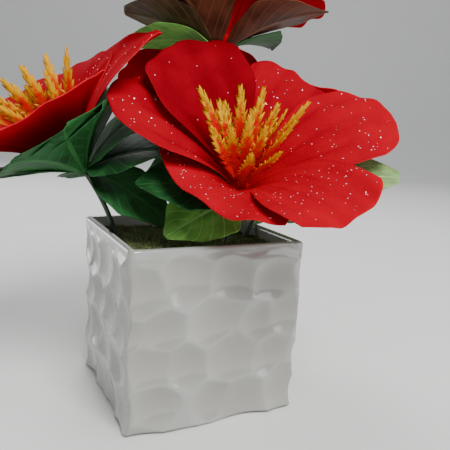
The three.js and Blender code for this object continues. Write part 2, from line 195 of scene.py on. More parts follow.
def finish_nodes(name, **constants):
    """A material whose Principled shader has these plain values, with its nodes and links."""
    material = bpy.data.materials.new(name)
    material.use_nodes = True
    nodes, links = material.node_tree.nodes, material.node_tree.links
    shader = nodes["Principled BSDF"]
    for socket, value in constants.items():
        shader.inputs[socket.replace("_", " ")].default_value = value
    return material, nodes, links, shader


def layer_value(nodes, name):
    """The value of one of a mesh's own float layers."""
    node = nodes.new("ShaderNodeAttribute")
    node.attribute_type = "GEOMETRY"
    node.attribute_name = name
    return node.outputs["Fac"]


def figure(tree, operation, *inputs):
    """One math node. Each input is a socket or a number."""
    node = tree.nodes.new("ShaderNodeMath")
    node.operation = operation
    for k, value in enumerate(inputs):
        if isinstance(value, (int, float)):
            node.inputs[k].default_value = value
        else:
            tree.links.new(value, node.inputs[k])
    return node.outputs[0]


def blended(tree, share, low, high):
    """A colour between two others. Each input is a socket or a plain value."""
    node = tree.nodes.new("ShaderNodeMix")
    node.data_type = "RGBA"
    for key, value in (("Factor", share), ("A", low), ("B", high)):
        sockets = [s for s in node.inputs if s.name == key]
        socket = sockets[0] if key == "Factor" else [s for s in sockets if s.type == "RGBA"][0]
        if isinstance(value, (int, float, tuple)):
            socket.default_value = value
        else:
            tree.links.new(value, socket)
    return [s for s in node.outputs if s.type == "RGBA"][0]


def spread_over(tree, value, low, high):
    """A value moved from the span low to high onto 0 to 1, and kept there."""
    node = tree.nodes.new("ShaderNodeMapRange")
    node.interpolation_type = "SMOOTHSTEP"
    for key, limit in (("From Min", low), ("From Max", high)):
        node.inputs[key].default_value = limit
    tree.links.new(value, node.inputs["Value"])
    return node.outputs["Result"]


def new_group(name, inputs, outputs):
    """A shader node group with named float inputs (name, value) and outputs (name, kind)."""
    group = bpy.data.node_groups.new(name, "ShaderNodeTree")
    for label, value in inputs:
        socket = group.interface.new_socket(label, in_out="INPUT", socket_type="NodeSocketFloat")
        socket.default_value = value
    for label, kind in outputs:
        group.interface.new_socket(label, in_out="OUTPUT", socket_type=kind)
    return group, group.nodes.new("NodeGroupInput"), group.nodes.new("NodeGroupOutput")


def placed(nodes, group, **values):
    """One use of a node group, with its own values."""
    node = nodes.new("ShaderNodeGroup")
    node.node_tree = group
    for key, value in values.items():
        node.inputs[key].default_value = value
    return node


# Cloudy unevenness from two sizes of noise, in the object's own place: a mask and a height.
mottle, mottle_in, mottle_out = new_group(
    "mottle",
    [("Size", 100), ("Grain", 900)],
    [("Mask", "NodeSocketFloat"), ("Height", "NodeSocketFloat")],
)
mottle_place = mottle.nodes.new("ShaderNodeTexCoord")
mottle_clouds = mottle.nodes.new("ShaderNodeTexNoise")
mottle_clouds.inputs["Detail"].default_value = 3
mottle_grains = mottle.nodes.new("ShaderNodeTexNoise")
mottle_grains.inputs["Detail"].default_value = 2
for mottle_noise, mottle_scale in ((mottle_clouds, "Size"), (mottle_grains, "Grain")):
    mottle.links.new(mottle_place.outputs["Object"], mottle_noise.inputs["Vector"])
    mottle.links.new(mottle_in.outputs[mottle_scale], mottle_noise.inputs["Scale"])
mottle.links.new(spread_over(mottle, mottle_clouds.outputs["Fac"], 0.3, 0.7), mottle_out.inputs["Mask"])
mottle.links.new(mottle_grains.outputs["Fac"], mottle_out.inputs["Height"])


def bump_from(nodes, links, height, strength, distance, shader):
    """A bump that the shader's normal follows."""
    node = nodes.new("ShaderNodeBump")
    node.inputs["Strength"].default_value = strength
    node.inputs["Distance"].default_value = distance
    links.new(height, node.inputs["Height"])
    links.new(node.outputs["Normal"], shader.inputs["Normal"])


glaze, nodes, links, shader = finish_nodes("white_glaze", IOR=1.5, Coat_Weight=0.9)
tree = glaze.node_tree
cloud = placed(nodes, mottle, Size=55, Grain=420)
# The glaze is painted darker and warmer the deeper a point lies in a dent: painted shade in the hollows,
# partly a tint of pooled glaze, broken up by cloudy mottle.
mottled_dent_shade = figure(tree, "MULTIPLY_ADD", cloud.outputs["Mask"], 0.12, layer_value(nodes, "dent_shade"))
dent_shade = spread_over(tree, mottled_dent_shade, 0.05, 1.1)
links.new(blended(tree, dent_shade, GLAZE, GLAZE_DENT_SHADE), shader.inputs["Base Color"])
rough = figure(tree, "MULTIPLY_ADD", cloud.outputs["Mask"], 0.08, 0.14)
links.new(rough, shader.inputs["Roughness"])
bump_from(nodes, links, cloud.outputs["Height"], 0.08, 0.0005, shader)

lip_turns = np.linspace(0, math.pi / 2, LIP_STEPS)
lip_share = 1 - LIP_ROUNDING / POT_HEIGHT
rings = [square_ring(FOOT_WIDTH, 0), square_ring(FOOT_WIDTH, HEM_HIGH)]
rings += [wall_ring(share, 0, 0) for share in np.linspace(0, lip_share, WALL_ROWS)]
for turn in lip_turns[1:]:
    inset = LIP_ROUNDING * (1 - math.cos(turn))
    rings.append(wall_ring(1, inset, LIP_ROUNDING * (1 - math.sin(turn))))
mouth = POT_WIDTH - 2 * LIP_WALL
for turn in lip_turns[::-1]:
    inset = LIP_ROUNDING * (1 - math.cos(turn))
    rings.append(square_ring(mouth + 2 * inset, POT_HEIGHT - LIP_ROUNDING * (1 - math.sin(turn))))
rings.append(square_ring(POT_WIDTH - 2 * FLOOR_WALL, POT_FLOOR))
skin, faces = lofted(rings)
# Each point keeps how deep in a dent it lies, which drives the painted shade in the glaze.
planter = mesh_object("planter", skin[:, :3], faces, [glaze], floats={"dent_shade": skin[:, 3]})
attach(planter, "root")
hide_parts("pot")

# The moss covers a block of dry foam that is wedged into the planter. It was dyed and glued on,
# and it lies in lumps between the stems, with loose ends sticking up and ochre strands.
CLEARANCE = 0.3
MOSS_DROP = 6.4
MOSS_GAP = 0.4
MOSS_TRIM = 0.6
MOSS_CELLS = 110
# Each size of lump: its height, how closely such lumps follow each other, and its own pattern.
MOSS_LUMPS = ((1.5, 0.09, 3.1), (0.8, 0.3, 7.7), (0.4, 0.9, 1.3))
TUFTS = 5200
TUFT_TILT = (0.1, 1.25)
TUFT_LENGTH = (1.2, 3.4)
TUFT_HALF_WIDTH = (0.16, 0.34)
TUFT_THICKNESS = 0.12
TUFT_DEPTH = 0.3
TUFT_INSET = 1
MOSS_DARK = (0.065, 0.070, 0.026, 1)
MOSS_OCHRE = (0.30, 0.20, 0.055, 1)
MOSS_GREEN = (0.105, 0.175, 0.048, 1)

moss_finish, nodes, links, shader = finish_nodes("moss_finish", Roughness=0.95)
tree = moss_finish.node_tree
cloud = placed(nodes, mottle, Size=170, Grain=1500)
earth = blended(tree, cloud.outputs["Mask"], MOSS_DARK, MOSS_GREEN)
strand = figure(tree, "POWER", layer_value(nodes, "ochre"), 2)
links.new(blended(tree, strand, earth, MOSS_OCHRE), shader.inputs["Base Color"])
bump_from(nodes, links, cloud.outputs["Height"], 0.5, 0.0015, shader)


def moss_height(x, y):
    """The lumpy top of the moss at one place, in millimetres."""
    lumps = sum(tall * noise.noise((x * close, y * close, own)) for tall, close, own in MOSS_LUMPS)
    return POT_HEIGHT - MOSS_DROP + lumps


half = (POT_WIDTH - 2 * LIP_WALL - 2 * MOSS_GAP - MOSS_TRIM) / 2
steps = np.linspace(-half, half, MOSS_CELLS + 1)
top = [(x, y, moss_height(x, y)) for y in steps for x in steps]
row = MOSS_CELLS + 1
faces = [
    (j * row + i, j * row + i + 1, (j + 1) * row + i + 1, (j + 1) * row + i)
    for j in range(MOSS_CELLS)
    for i in range(MOSS_CELLS)
]
rim = list(range(MOSS_CELLS))
rim += [j * row + MOSS_CELLS for j in range(MOSS_CELLS)]
rim += [MOSS_CELLS * row + i for i in range(MOSS_CELLS, 0, -1)]
rim += [j * row for j in range(MOSS_CELLS, 0, -1)]
bed_share = (POT_WIDTH / 2 - FLOOR_WALL - MOSS_GAP) / half
below = len(top)
for k in rim:
    top.append((top[k][0] * bed_share, top[k][1] * bed_share, POT_FLOOR + CLEARANCE))
for k, corner in enumerate(rim):
    n = (k + 1) % len(rim)
    faces.append((corner, below + k, below + n, rim[n]))
faces.append(tuple(below + k for k in range(len(rim) - 1, -1, -1)))
ochre = [0.0] * len(top)
rng = np.random.default_rng(41)
for _ in range(TUFTS):
    x, y = rng.uniform(TUFT_INSET - half, half - TUFT_INSET, 2)
    foot = Vector((x, y, moss_height(x, y) - TUFT_DEPTH))
    turn = rng.uniform(0, 2 * math.pi)
    tilt = rng.uniform(*TUFT_TILT)
    length = rng.uniform(*TUFT_LENGTH)
    out = Vector((math.cos(turn) * math.sin(tilt), math.sin(turn) * math.sin(tilt), math.cos(tilt)))
    side = out.cross(Vector((0.3, 0.5, 1))).normalized() * rng.uniform(*TUFT_HALF_WIDTH)
    lift = out.cross(side).normalized() * TUFT_THICKNESS
    tip = foot + out * length
    tip.x = min(half, max(-half, tip.x))
    tip.y = min(half, max(-half, tip.y))
    start = len(top)
    top += [tuple(foot - side), tuple(foot + side), tuple(foot + lift), tuple(tip)]
    faces += [(start, start + 1, start + 3), (start + 1, start + 2, start + 3)]
    faces += [(start + 2, start, start + 3), (start + 1, start, start + 2)]
    ochre += [float(rng.uniform(0, 1) ** 3)] * 4
moss_top = mesh_object("moss_top", top, faces, [moss_finish], floats={"ochre": ochre})
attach(moss_top, "root")
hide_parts("moss")

# The stems are five lengths of wire in a dark green plastic sleeve, pushed into the foam. Each
# is bent over by hand near its top, so that its bloom looks outward.
STEM_DEPTH = 30
STEM_FOOT_RADIUS = 1.4
STEM_TIP_RADIUS = 1.15
STEM_UPRIGHT = 1.5
STEM_SIDES = 14
STEM_STEPS = 40
SLEEVE_GREEN = (0.012, 0.035, 0.014, 1)
SLEEVE_WORN = (0.04, 0.075, 0.03, 1)
# Each bloom: its apex, how far and which way it leans in degrees, and its stem's foot.
STANDS = {
    "front": ((20.5, -17.5, 107), 38, -111, (9, -18)),
    "left": ((-52, 12, 116.7), 34, 184, (-34, 8)),
    "top": ((17, 6, 181), 14, 60, (2, 11)),
    "back": ((31.5, 64, 121), 31, 67.5, (-4, 30)),
    "right": ((46.8, 8, 99.8), 47.7, 60.2, (27, 3)),
}


def standing(bloom):
    """The turn and shift from a bloom's own frame to the pot's."""
    apex, lean, heading, _ = STANDS[bloom]
    toward = math.radians(heading)
    hinge = Vector((-math.sin(toward), math.cos(toward), 0))
    return np.array(Matrix.Translation(apex) @ Matrix.Rotation(math.radians(lean), 4, hinge))


sleeve, nodes, links, shader = finish_nodes("green_sleeve", Roughness=0.5)
cloud = placed(nodes, mottle, Size=220, Grain=1800)
worn = blended(sleeve.node_tree, cloud.outputs["Mask"], SLEEVE_GREEN, SLEEVE_WORN)
links.new(worn, shader.inputs["Base Color"])
bump_from(nodes, links, cloud.outputs["Height"], 0.2, 0.0003, shader)

for bloom, (apex, lean, heading, root) in STANDS.items():
    axis = standing(bloom)[:3, 2]
    tip = np.array(apex) - CLEARANCE * axis
    foot = np.array([*root, POT_HEIGHT - MOSS_DROP - STEM_DEPTH])
    third = np.linalg.norm(tip - foot) / 3
    guides = [foot, foot + np.array([0, 0, STEM_UPRIGHT * third]), tip - third * axis, tip]
    rings = []
    across = np.array([0.0, 1.0, 0.0])
    for t in np.linspace(0, 1, STEM_STEPS + 1):
        weights = [(1 - t) ** 3, 3 * t * (1 - t) ** 2, 3 * t * t * (1 - t), t**3]
        centre = sum(w * g for w, g in zip(weights, guides))
        slopes = [(1 - t) ** 2, 2 * t * (1 - t), t * t]
        along = sum(w * (guides[k + 1] - guides[k]) for k, w in enumerate(slopes))
        along /= np.linalg.norm(along)
        across = across - (across @ along) * along
        across /= np.linalg.norm(across)
        other = np.cross(along, across)
        radius = STEM_FOOT_RADIUS + (STEM_TIP_RADIUS - STEM_FOOT_RADIUS) * t
        turns = 2 * math.pi * np.arange(STEM_SIDES) / STEM_SIDES
        spokes = np.outer(np.cos(turns), across) + np.outer(np.sin(turns), other)
        rings.append(centre + radius * spokes)
    skin, faces = lofted(rings)
    stem = mesh_object("wire_" + bloom, skin, faces, [sleeve])
    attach(stem, "root")
    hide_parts("stem_" + bloom)

# The leaves sit in a collar under each bloom, on a short green hub. They are cut from printed
# cloth and pressed, so that midrib and side veins stand out, and some are rusty underneath.
HUB_RADIUS = 3.4
HUB_TOP = 2.6
LEAF_THICKNESS = 0.5
LEAF_ROOT_OUT = 2.4
LEAF_ROOT_UP = 1.4
LEAF_HALF_WIDTH = 0.4
LEAF_BEND = 3
LEAF_FOLD = 1.2
LEAF_LAP = 1.5
LEAF_WARP = 0.7
LEAF_UPRIGHT = 30
LEAF_ACROSS = 26
LEAF_ALONG = 44
MIDRIB_DEPTH = 0.5
MIDRIB_INK_HALF = 0.045
VEINS = 7
VEIN_SWEEP = 0.32
VEIN_DEPTH = 0.9
VEIN_INK_HALF = 0.06
VEIN_INK_SHARE = 0.55
LEAF_SHADE = 0.35
# Each print's colour on the blade, and the colour of its veins.
LEAF_PRINTS = {
    "dark": ((0.022, 0.120, 0.032, 1), (0.038, 0.155, 0.042, 1)),
    "green": ((0.024, 0.130, 0.030, 1), (0.055, 0.190, 0.050, 1)),
    "bright": ((0.24, 0.58, 0.10, 1), (0.34, 0.66, 0.17, 1)),
    "pale": ((0.24, 0.40, 0.14, 1), (0.36, 0.48, 0.20, 1)),
    "rusty": ((0.12, 0.038, 0.018, 1), (0.16, 0.055, 0.030, 1)),
    "dusky": ((0.115, 0.070, 0.030, 1), (0.150, 0.095, 0.042, 1)),
}
# Each leaf: azimuth, length, slope at the root, slope at the tip, half width as a share of the
# length where it isn't LEAF_HALF_WIDTH, and the prints of the upper side and the underside.
LEAVES = {
    "front": [
        (-163, 43, 8, -20, 20 / 43, "bright", "bright"),
        (-29, 78, 38, 5, 20 / 78, "pale", "pale"),
        (170, 54, 34, 4, None, "dark", "dark"),
        (28, 54, 34, 4, None, "green", "green"),
    ],
    "left": [
        (-127, 55, 46, 16, 30 / 55, "green", "dark"),
        (-95, 54, 49, 17, 26 / 54, "green", "dark"),
        (-64, 46, 50, 20, 22 / 46, "green", "dark"),
        (-170, 50, 44, 14, None, "green", "green"),
        (-35, 50, -52, -72, 21 / 50, "dark", "dark"),
        (90, 50, 40, 10, None, "green", "green"),
        (145, 50, 34, 6, None, "dark", "green"),
        (72, 44, -8, -40, None, "dark", "dark"),
        (-19, 52, 30, -8, 22 / 52, "green", "dark"),
        (-38, 44, 4, -26, 20 / 44, "dark", "dark"),
        (38, 52, 46, 12, None, "green", "dark"),
    ],
    "top": [
        (-35, 57, 39, 5, 0.38, "green", "rusty"),
        (-160, 58, 44, 10, 0.42, "green", "rusty"),
        (146, 56, 34, 8, None, "green", "dusky"),
        (138, 52, 26, -18, 0.3, "bright", "bright"),
        (92, 56, 36, 8, None, "green", "rusty"),
        (32, 54, 36, 8, None, "dark", "green"),
        (122, 48, -12, -50, None, "dark", "dark"),
    ],
    "back": [
        (40, 52, 34, 6, None, "green", "green"),
        (100, 54, 34, 6, None, "dark", "green"),
        (160, 52, 30, -2, None, "dark", "dark"),
        (205, 50, 34, 6, None, "green", "rusty"),
        (70, 50, 4, -30, None, "bright", "bright"),
        (135, 46, -24, -56, None, "dark", "green"),
    ],
    "right": [
        (20, 54, 34, 6, None, "green", "green"),
        (86, 54, 34, 6, None, "dark", "green"),
        (168, 50, 34, 6, None, "green", "rusty"),
        (305, 50, 34, 6, None, "dark", "dark"),
        (345, 48, 16, -10, None, "bright", "green"),
    ],
}
BLOOM_SEEDS = {"front": 3, "left": 4, "top": 8, "back": 6, "right": 7}

leaf_print, leaf_in, leaf_out = new_group(
    "leaf_print", [("Veins", VEINS)], [("Vein", "NodeSocketFloat")]
)
across_leaf = figure(leaf_print, "ABSOLUTE", layer_value(leaf_print.nodes, "across"))
along_leaf = layer_value(leaf_print.nodes, "along")
sweep = figure(leaf_print, "MULTIPLY_ADD", across_leaf, -VEIN_SWEEP, along_leaf)
rows = figure(leaf_print, "FRACT", figure(leaf_print, "MULTIPLY", sweep, leaf_in.outputs["Veins"]))
side_vein = figure(leaf_print, "COMPARE", rows, 0.5, VEIN_INK_HALF)
fainter = figure(leaf_print, "MULTIPLY", side_vein, VEIN_INK_SHARE)
midrib = figure(leaf_print, "LESS_THAN", across_leaf, MIDRIB_INK_HALF)
leaf_print.links.new(figure(leaf_print, "MAXIMUM", fainter, midrib), leaf_out.inputs["Vein"])

leaf_finishes = {}
for tint, (blade, vein) in LEAF_PRINTS.items():
    finish, nodes, links, shader = finish_nodes("leaf_" + tint, Specular_IOR_Level=0.1)
    printed = placed(nodes, leaf_print, Veins=VEINS)
    cloud = placed(nodes, mottle, Size=60, Grain=1400)
    darker = tuple(c * LEAF_SHADE for c in blade[:3]) + (1,)
    body = blended(finish.node_tree, cloud.outputs["Mask"], darker, blade)
    ribbed = blended(finish.node_tree, printed.outputs["Vein"], body, vein)
    links.new(ribbed, shader.inputs["Base Color"])
    rough = figure(finish.node_tree, "MULTIPLY_ADD", cloud.outputs["Mask"], 0.15, 0.42)
    links.new(rough, shader.inputs["Roughness"])
    bump_from(nodes, links, cloud.outputs["Height"], 0.25, 0.0004, shader)
    leaf_finishes[tint] = finish


def reach(length, root_slope, tip_slope, share):
    """How far out an arc has got after a share of its length. Slopes are in degrees."""
    root = math.radians(root_slope)
    slope = root + math.radians(tip_slope - root_slope) * share
    radius = length / math.radians(root_slope - tip_slope)
    return radius * (math.sin(root) - np.sin(slope))


def rise(length, root_slope, tip_slope, out):
    """How high the same arc stands over a point that is a given distance out, and its slope."""
    root = math.radians(root_slope)
    radius = length / math.radians(root_slope - tip_slope)
    slope = np.arcsin(np.clip(math.sin(root) - out / radius, -1, 1))
    return radius * (np.cos(slope) - math.cos(root)), slope


def cloth(place, columns, lines, thickness):
    """A cut sheet: vertices, faces, each face's side (0 upper, 1 under, 2 cut edge), u and v."""
    u, v = np.meshgrid(columns, lines)
    step = 1e-3
    middle = place(u, v)
    crosswise = place(u + step, v) - place(u - step, v)
    lengthwise = place(u, v + step) - place(u, v - step)
    normal = np.cross(crosswise, lengthwise)
    normal *= (thickness / 2) / np.maximum(np.linalg.norm(normal, axis=-1, keepdims=True), 1e-12)
    vertices = np.concatenate([(middle + normal).reshape(-1, 3), (middle - normal).reshape(-1, 3)])
    row, rows = len(columns), len(lines)
    skin = row * rows
    j, i = np.meshgrid(np.arange(rows - 1), np.arange(row - 1), indexing="ij")
    a = (j * row + i).ravel()
    under = np.stack([a, a + 1, a + row + 1, a + row], 1)
    upper = np.stack([a, a + row, a + row + 1, a + 1], 1) + skin
    near = np.arange(row - 1)
    far = (rows - 1) * row + near
    left = np.arange(rows - 1) * row
    right = left + row - 1
    edges = [
        np.stack([skin + near, skin + near + 1, near + 1, near], 1),
        np.stack([far, far + 1, skin + far + 1, skin + far], 1),
        np.stack([left, left + row, skin + left + row, skin + left], 1),
        np.stack([skin + right, skin + right + row, right + row, right], 1),
    ]
    cut = np.concatenate(edges)
    faces = np.concatenate([under, upper, cut])
    sides = np.repeat([1, 0, 2], [len(under), len(upper), len(cut)])
    return vertices, faces, sides, np.tile(u.ravel(), 2), np.tile(v.ravel(), 2)


def lathe(profile, sides):
    """A turned solid about +Z as vertices and faces, from (radius, height) pairs."""
    turns = 2 * math.pi * np.arange(sides) / sides
    circle = np.stack([np.cos(turns), np.sin(turns), np.zeros(sides)], 1)
    return lofted([radius * circle + [0, 0, height] for radius, height in profile])


def gathered(sheets, hub, slot, level):
    """Sheets and their turned hub as one: vertices, faces, finishes and three float layers."""
    start = 0
    vertices, faces, finishes = [], [], []
    layers = {"across": [], "along": [], "painted_shade": []}
    for points, quads, slots, *values in sheets:
        vertices.append(points)
        faces += (quads + start).tolist()
        finishes.append(slots)
        for layer, value in zip(layers.values(), values):
            layer.append(value)
        start += len(points)
    points, hub_faces = hub
    vertices.append(points)
    faces += [[start + k for k in face] for face in hub_faces]
    finishes.append(np.full(len(hub_faces), slot))
    for layer in layers.values():
        layer.append(np.full(len(points), level))
    joined = {name: np.concatenate(values) for name, values in layers.items()}
    return np.concatenate(vertices), faces, np.concatenate(finishes), joined


def leaf_surface(azimuth, length, root_slope, tip_slope, half_width, bend, seed):
    """A leaf's middle surface: ovate, ending in a point, with a pressed midrib and side veins."""

    def place(u, v):
        out = reach(length, root_slope, tip_slope, v)
        oval = np.maximum(0.07, np.sin(math.pi * (0.97 * np.abs(v)) ** 0.85)) ** 0.9
        uneven = 1 + 0.035 * np.sin(17 * v + seed) * np.abs(u)
        uneven = uneven + 0.02 * np.sin(31 * v + 2 * seed) * np.abs(u)
        sideways = half_width * oval * u * uneven + bend * v * v
        upright = root_slope > LEAF_UPRIGHT
        far = np.hypot(LEAF_ROOT_OUT + out, sideways) - LEAF_ROOT_OUT if upright else out
        up, slope = rise(length, root_slope, tip_slope, far)
        lift = LEAF_FOLD * np.abs(u) * oval + LEAF_LAP * u * smooth(4 * v)
        lift = lift - MIDRIB_DEPTH * np.exp(-((u / 0.07) ** 2)) * smooth(6 * v)
        veins = ((v - VEIN_SWEEP * np.abs(u)) * VEINS) % 1 - 0.5
        lift = lift - VEIN_DEPTH * np.exp(-((veins / 0.1) ** 2)) * np.abs(u) * (1 - np.abs(u))
        lift = lift + LEAF_WARP * np.sin(7 * v + 3 * u + seed) * np.abs(u) * v
        outward = LEAF_ROOT_OUT + out - lift * np.sin(slope)
        return turned(outward, sideways, LEAF_ROOT_UP + up + lift * np.cos(slope), azimuth)

    return place


tints = list(LEAF_PRINTS)
finishes = [leaf_finishes[tint] for tint in tints]
leaf_columns = np.sin(np.linspace(-math.pi / 2, math.pi / 2, LEAF_ACROSS + 1))
leaf_lines = np.linspace(0, 1, LEAF_ALONG + 1)
leaf_hub = [(0.5, 0), (HUB_RADIUS - 0.8, 0), (HUB_RADIUS, 0.9)]
leaf_hub += [(HUB_RADIUS, HUB_TOP - 0.5), (HUB_RADIUS - 0.6, HUB_TOP)]
for bloom, leaves in LEAVES.items():
    sheets = []
    for k, (azimuth, length, root_slope, tip_slope, share, over, under) in enumerate(leaves):
        bend = LEAF_BEND * swing(BLOOM_SEEDS[bloom] * 100 + 70 + k)
        half_width = length * (share or LEAF_HALF_WIDTH)
        place = leaf_surface(azimuth, length, root_slope, tip_slope, half_width, bend, k + 1.7)
        blade, quads, sides, u, v = cloth(place, leaf_columns, leaf_lines, LEAF_THICKNESS)
        slots = np.array([tints.index(over), tints.index(under), tints.index(under)])[sides]
        sheets.append((blade, quads, slots, u, v, np.zeros(len(u))))
    vertices, faces, slots, layers = gathered(sheets, lathe(leaf_hub, 20), tints.index("green"), 0.5)
    collar = mesh_object("collar_" + bloom, vertices, faces, finishes, slots, layers, standing(bloom))
    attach(collar, "root")
    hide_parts("leaves_" + bloom)

# The petals are six sheets of red velvet in each bloom, glued into a cup. Each was cut with a
# hot die, pressed into a funnel with soft folds, and ruffled along its outer rim.
CUP_FOOT = HUB_TOP + CLEARANCE
CUP_TOP = 9
CUP_RADIUS = 5
PETAL_THICKNESS = 0.45
PETAL_ROOT_OUT = 2.2
PETAL_ROOT_UP = 5
PETAL_ROOT_SLOPE = 58
PETAL_LENGTH = 73
PETAL_HALF_WIDTH = 31
PETAL_FOOT_SHARE = 0.1
PETAL_BLUNTNESS = 0.28
PETAL_LAP = 0.9
PETAL_RIPPLE = 2.4
PETAL_ACROSS = 46
PETAL_ALONG = 60
RIM_WAVE = 0.02
RIM_NICKS = 0.007
RUFFLE = 1.0
FINE_RUFFLE = 0.3
FOLD = 0.5
CREASE = 0.45
CREASE_ROWS = 5.5
CREASE_WANDER = 0.5
CREASE_NARROWNESS = 125
CREASE_SHADE = 0.25
VELVET_LIT = (0.43, 0.0003, 0.011, 1)
# The colour the velvet is painted where it lies in full painted shade.
VELVET_SHADED = (0.19, 0.0002, 0.006, 1)
# The throat's colour is painted light, brighter than the velvet, where the cup's shade falls.
VELVET_THROAT_LIGHT = (0.60, 0.0004, 0.012, 1)
VELVET_BACK = (0.40, 0.0004, 0.009, 1)
CUT_EDGE = (0.60, 0.015, 0.022, 1)
# Each bloom's petals: azimuth, how much painted shade darkens the petal (0 to 1), and what sets the
# petal apart.
PETALS = {
    "front": [
        (141, 0.38, dict(length=81, half_width=23, tip_slope=8, cup=3, skew=0, phase=1.6, wave=0.5)),
        (101, 0.8, dict(length=79, half_width=27, tip_slope=21, skew=0, phase=1.4, blunt=0.18)),
        (37, 0.3, dict(length=69, half_width=25, tip_slope=7, cup=3, skew=0.06, blunt=0.18, wave=0.5)),
        (-9, 0.1, dict(length=84, half_width=24, tip_slope=0, skew=-0.03, blunt=0.2, wave=0.5)),
        (-71, 0, dict(length=77, half_width=23, tip_slope=5, skew=0.02, blunt=0.12, wave=0.1)),
        (-144, 0.05, dict(length=45, half_width=37, tip_slope=10, cup=3, skew=0.16, bend=0, wave=0.6)),
    ],
    "left": [
        (2, 0.25, dict(length=78, half_width=30, tip_slope=-1, bend=-3, wave=0.4)),
        (58, 0.25, dict(tip_slope=4)),
        (110, 0.25, dict(tip_slope=6)),
        (165, 0.2, dict(tip_slope=12)),
        (212, 0.2, dict(half_width=28, tip_slope=8, cup=1, phase=0.2)),
        (254, 0.2, dict(length=60, half_width=38, tip_slope=20, cup=0, skew=-0.22, phase=0.2, wave=0.3)),
    ],
    "top": [(20 + 60 * k, 0.3, {}) for k in range(6)],
    "back": [(20 + 60 * k, 0.3, {}) for k in range(6)],
    "right": [
        (-12, 0.3, {}),
        (45, 0.4, {}),
        (98, 0.2, dict(half_width=21, bend=0)),
        (167, 0.3, dict(half_width=22, bend=0)),
        (223, 0.3, {}),
        (284, 0.2, {}),
    ],
}


def velvet_finish(name, lit):
    """Velvet painted darker by each petal's painted shade and its creases, and painted lighter in the
    shaded throat.
    """
    finish, nodes, links, shader = finish_nodes(
        name, Roughness=0.9, Sheen_Weight=0.25, Sheen_Roughness=0.35, Specular_IOR_Level=0.03
    )
    shader.inputs["Sheen Tint"].default_value = (1, 0.015, 0.03, 1)
    tree = finish.node_tree
    cloud = placed(nodes, mottle, Size=75, Grain=2600)
    # Each petal's painted shade, with painted crease shade and cloudy mottle, darkens the velvet toward
    # its shaded colour.
    mottled_shade = figure(tree, "MULTIPLY_ADD", cloud.outputs["Mask"], 0.22, layer_value(nodes, "painted_shade"))
    shaded_velvet = blended(tree, mottled_shade, lit, VELVET_SHADED)
    # The velvet is painted lighter toward the throat, as painted light where shade falls in the cup.
    throat_light = spread_over(tree, layer_value(nodes, "along"), 0.34, 0.08)
    links.new(blended(tree, throat_light, shaded_velvet, VELVET_THROAT_LIGHT), shader.inputs["Base Color"])
    bump_from(nodes, links, cloud.outputs["Height"], 0.35, 0.0004, shader)
    return finish


velvet = velvet_finish("velvet_face", VELVET_LIT)
velvet_back = velvet_finish("velvet_back", VELVET_BACK)
cut_edge, nodes, links, shader = finish_nodes("cut_edge", Roughness=0.8, Specular_IOR_Level=0.1)
cloud = placed(nodes, mottle, Size=300, Grain=2600)
frayed = blended(cut_edge.node_tree, cloud.outputs["Mask"], VELVET_LIT, CUT_EDGE)
links.new(frayed, shader.inputs["Base Color"])


def petals_of(bloom):
    """Each petal's sizes, with the small differences of hand work."""
    made = []
    for k, (azimuth, painted_shade, changes) in enumerate(PETALS[bloom]):
        seed = BLOOM_SEEDS[bloom] * 100 + k * 10
        petal = {
            "azimuth": azimuth,
            "length": PETAL_LENGTH + 2 * swing(seed + 1),
            "half_width": PETAL_HALF_WIDTH + 1.5 * swing(seed + 2),
            "tip_slope": 4 + 8 * swing(seed + 3),
            "cup": 2 + 2 * swing(seed + 4),
            "skew": 0.03 * swing(seed + 5),
            "bend": 2 * swing(seed + 6),
            "phase": math.pi * swing(seed + 7),
            "blunt": PETAL_BLUNTNESS,
            "wave": 1,
            "painted_shade": painted_shade,
        }
        made.append({**petal, **changes})
    return made


def crease(u, share, phase):
    """How deep in one of the few creases that run out from the throat, from 0 to 1."""
    rows = CREASE_ROWS * u + CREASE_WANDER * np.sin(4 * share + phase) + phase
    return np.exp(-CREASE_NARROWNESS * ((rows / math.pi) % 1 - 0.5) ** 2)


def petal_surface(petal):
    """A petal's middle surface on the bloom's funnel, with folds and a ruffled rim."""
    length, tip_slope, phase = petal["length"], petal["tip_slope"], petal["phase"]

    def place(u, v):
        edge = np.abs(u)
        wave = RIM_WAVE * np.sin(7 * u + phase) + RIM_NICKS * np.sin(12 * u + 2 * phase)
        end = 1 - petal["blunt"] * edge**3 + petal["skew"] * u + petal["wave"] * wave
        share = v * (1 + (end - 1) * smooth(1.2 * v - 0.2))
        x = PETAL_ROOT_OUT + reach(length, PETAL_ROOT_SLOPE, tip_slope, share)
        spread = PETAL_FOOT_SHARE + (1 - PETAL_FOOT_SHARE) * smooth(1.6 * share)
        wobble = 1 + 0.012 * np.sin(9 * v + phase) * edge
        y = petal["half_width"] * spread * u * wobble + petal["bend"] * share * share
        up, slope = rise(length, PETAL_ROOT_SLOPE, tip_slope, np.hypot(x, y) - PETAL_ROOT_OUT)
        midway = np.sin(math.pi * np.clip(share, 0, 1))
        lift = petal["cup"] * edge * edge * share * share + PETAL_LAP * u * smooth(5 * share)
        lift = lift + PETAL_RIPPLE * np.sin(3.4 * u + phase) * edge * share**3
        lift = lift + RUFFLE * np.sin(8.5 * u - 1.7 * phase) * (0.35 + edge) * share**4
        lift = lift + FINE_RUFFLE * np.sin(15 * u + phase + 5 * v) * share**6
        lift = lift + FOLD * np.sin(11 * u + 3 * phase) * midway
        lift = lift - CREASE * crease(u, share, phase) * midway
        outward = x - lift * np.sin(slope)
        return turned(outward, y, PETAL_ROOT_UP + up + lift * np.cos(slope), petal["azimuth"])

    return place


